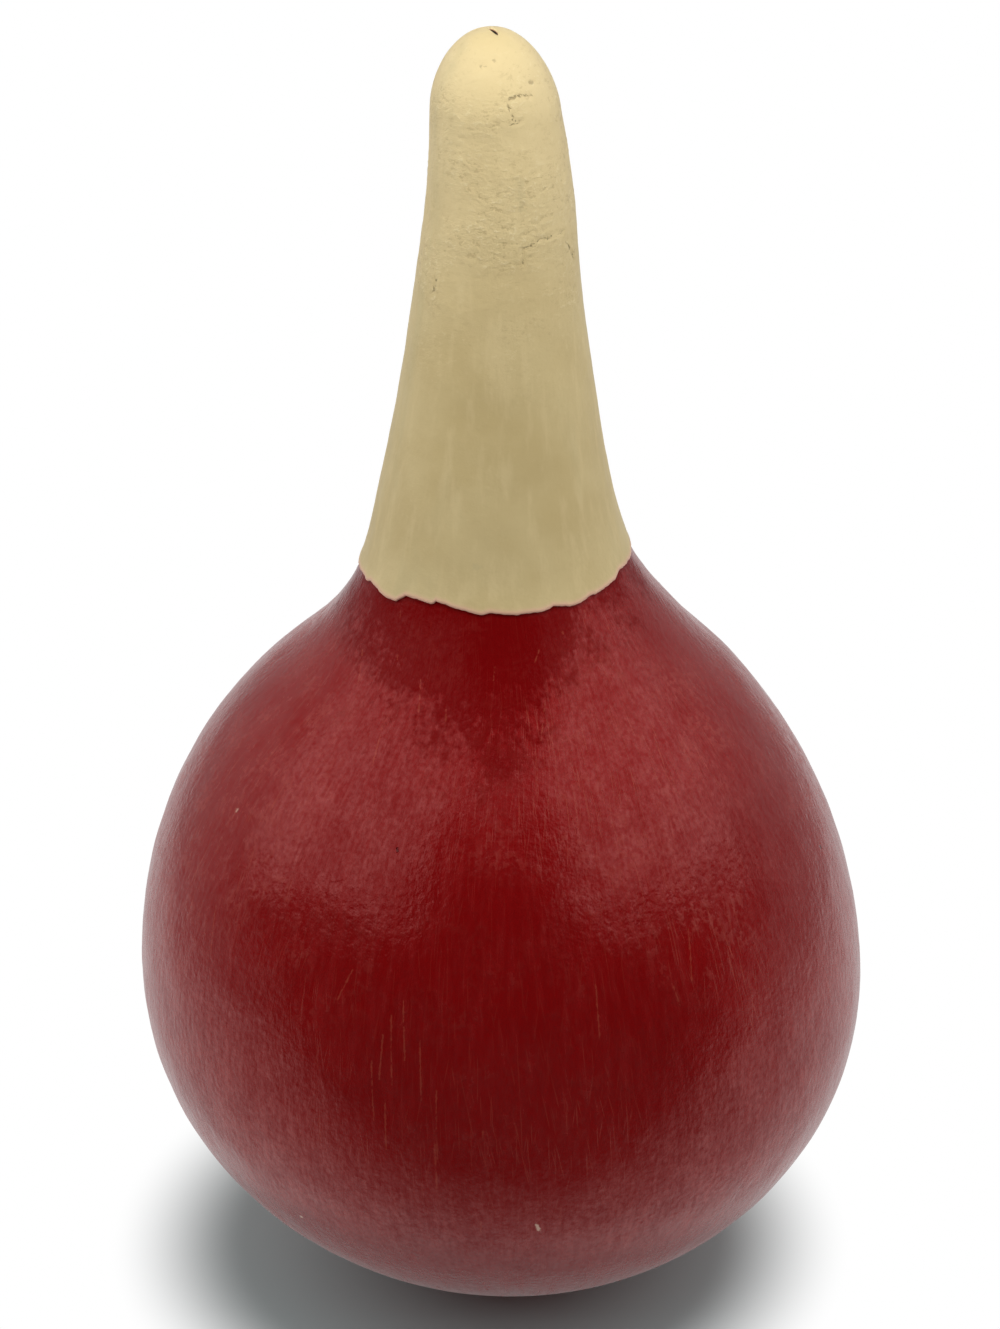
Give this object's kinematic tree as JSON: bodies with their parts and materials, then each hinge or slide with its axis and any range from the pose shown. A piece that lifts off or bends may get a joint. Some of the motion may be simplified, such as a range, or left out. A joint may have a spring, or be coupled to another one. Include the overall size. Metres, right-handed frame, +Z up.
{
  "type": "gourd rattle",
  "caption": "Hollow dried bottle gourd shaken as a rattle: round lacquered bowl, tapered painted neck as a handle, dried stem stub and loose seeds inside.",
  "frame": {"origin": "centre of the flat foot that the bowl stands on", "axes": "+Z up along the neck, -Y towards the pictured side, +X to the right in the picture"},
  "size_m": [0.15, 0.15, 0.268],
  "materials": {
    "lacquered_rind": "satin dark red lacquer over dried rind, finely scratched along its length",
    "neck_paint": "thick cream paint, eggshell sheen, finely cracked",
    "dry_stem": "dry dark fibrous wood",
    "dry_seed": "dry matt seed coat"
  },
  "bodies": {
    "gourd": {"gourd_shell": "lacquered_rind", "neck_paint_coat": "neck_paint", "stem_stub": "dry_stem"},
    "loose_seed_01": {"seed_01": "dry_seed"},
    "loose_seed_02": {"seed_02": "dry_seed"},
    "loose_seed_03": {"seed_03": "dry_seed"},
    "loose_seed_04": {"seed_04": "dry_seed"},
    "loose_seed_05": {"seed_05": "dry_seed"},
    "loose_seed_06": {"seed_06": "dry_seed"},
    "loose_seed_07": {"seed_07": "dry_seed"},
    "loose_seed_08": {"seed_08": "dry_seed"},
    "loose_seed_09": {"seed_09": "dry_seed"},
    "loose_seed_10": {"seed_10": "dry_seed"},
    "loose_seed_11": {"seed_11": "dry_seed"},
    "loose_seed_12": {"seed_12": "dry_seed"},
    "loose_seed_13": {"seed_13": "dry_seed"},
    "loose_seed_14": {"seed_14": "dry_seed"},
    "loose_seed_15": {"seed_15": "dry_seed"},
    "loose_seed_16": {"seed_16": "dry_seed"},
    "loose_seed_17": {"seed_17": "dry_seed"},
    "loose_seed_18": {"seed_18": "dry_seed"},
    "loose_seed_19": {"seed_19": "dry_seed"},
    "loose_seed_20": {"seed_20": "dry_seed"},
    "loose_seed_21": {"seed_21": "dry_seed"},
    "loose_seed_22": {"seed_22": "dry_seed"},
    "loose_seed_23": {"seed_23": "dry_seed"},
    "loose_seed_24": {"seed_24": "dry_seed"}
  },
  "joints": [
    {"name": "seed_01_toss", "type": "slide", "parent": "gourd", "child": "loose_seed_01", "axis": [0, 0, 1], "range_m": [0, 0.085]},
    {"name": "seed_02_toss", "type": "slide", "parent": "gourd", "child": "loose_seed_02", "axis": [0, 0, 1], "range_m": [0, 0.085]},
    {"name": "seed_03_toss", "type": "slide", "parent": "gourd", "child": "loose_seed_03", "axis": [0, 0, 1], "range_m": [0, 0.085]},
    {"name": "seed_04_toss", "type": "slide", "parent": "gourd", "child": "loose_seed_04", "axis": [0, 0, 1], "range_m": [0, 0.085]},
    {"name": "seed_05_toss", "type": "slide", "parent": "gourd", "child": "loose_seed_05", "axis": [0, 0, 1], "range_m": [0, 0.085]},
    {"name": "seed_06_toss", "type": "slide", "parent": "gourd", "child": "loose_seed_06", "axis": [0, 0, 1], "range_m": [0, 0.085]},
    {"name": "seed_07_toss", "type": "slide", "parent": "gourd", "child": "loose_seed_07", "axis": [0, 0, 1], "range_m": [0, 0.085]},
    {"name": "seed_08_toss", "type": "slide", "parent": "gourd", "child": "loose_seed_08", "axis": [0, 0, 1], "range_m": [0, 0.085]},
    {"name": "seed_09_toss", "type": "slide", "parent": "gourd", "child": "loose_seed_09", "axis": [0, 0, 1], "range_m": [0, 0.085]},
    {"name": "seed_10_toss", "type": "slide", "parent": "gourd", "child": "loose_seed_10", "axis": [0, 0, 1], "range_m": [0, 0.085]},
    {"name": "seed_11_toss", "type": "slide", "parent": "gourd", "child": "loose_seed_11", "axis": [0, 0, 1], "range_m": [0, 0.085]},
    {"name": "seed_12_toss", "type": "slide", "parent": "gourd", "child": "loose_seed_12", "axis": [0, 0, 1], "range_m": [0, 0.085]},
    {"name": "seed_13_toss", "type": "slide", "parent": "gourd", "child": "loose_seed_13", "axis": [0, 0, 1], "range_m": [0, 0.085]},
    {"name": "seed_14_toss", "type": "slide", "parent": "gourd", "child": "loose_seed_14", "axis": [0, 0, 1], "range_m": [0, 0.085]},
    {"name": "seed_15_toss", "type": "slide", "parent": "gourd", "child": "loose_seed_15", "axis": [0, 0, 1], "range_m": [0, 0.085]},
    {"name": "seed_16_toss", "type": "slide", "parent": "gourd", "child": "loose_seed_16", "axis": [0, 0, 1], "range_m": [0, 0.085]},
    {"name": "seed_17_toss", "type": "slide", "parent": "gourd", "child": "loose_seed_17", "axis": [0, 0, 1], "range_m": [0, 0.085]},
    {"name": "seed_18_toss", "type": "slide", "parent": "gourd", "child": "loose_seed_18", "axis": [0, 0, 1], "range_m": [0, 0.085]},
    {"name": "seed_19_toss", "type": "slide", "parent": "gourd", "child": "loose_seed_19", "axis": [0, 0, 1], "range_m": [0, 0.085]},
    {"name": "seed_20_toss", "type": "slide", "parent": "gourd", "child": "loose_seed_20", "axis": [0, 0, 1], "range_m": [0, 0.085]},
    {"name": "seed_21_toss", "type": "slide", "parent": "gourd", "child": "loose_seed_21", "axis": [0, 0, 1], "range_m": [0, 0.085]},
    {"name": "seed_22_toss", "type": "slide", "parent": "gourd", "child": "loose_seed_22", "axis": [0, 0, 1], "range_m": [0, 0.085]},
    {"name": "seed_23_toss", "type": "slide", "parent": "gourd", "child": "loose_seed_23", "axis": [0, 0, 1], "range_m": [0, 0.085]},
    {"name": "seed_24_toss", "type": "slide", "parent": "gourd", "child": "loose_seed_24", "axis": [0, 0, 1], "range_m": [0, 0.085]}
  ]
}
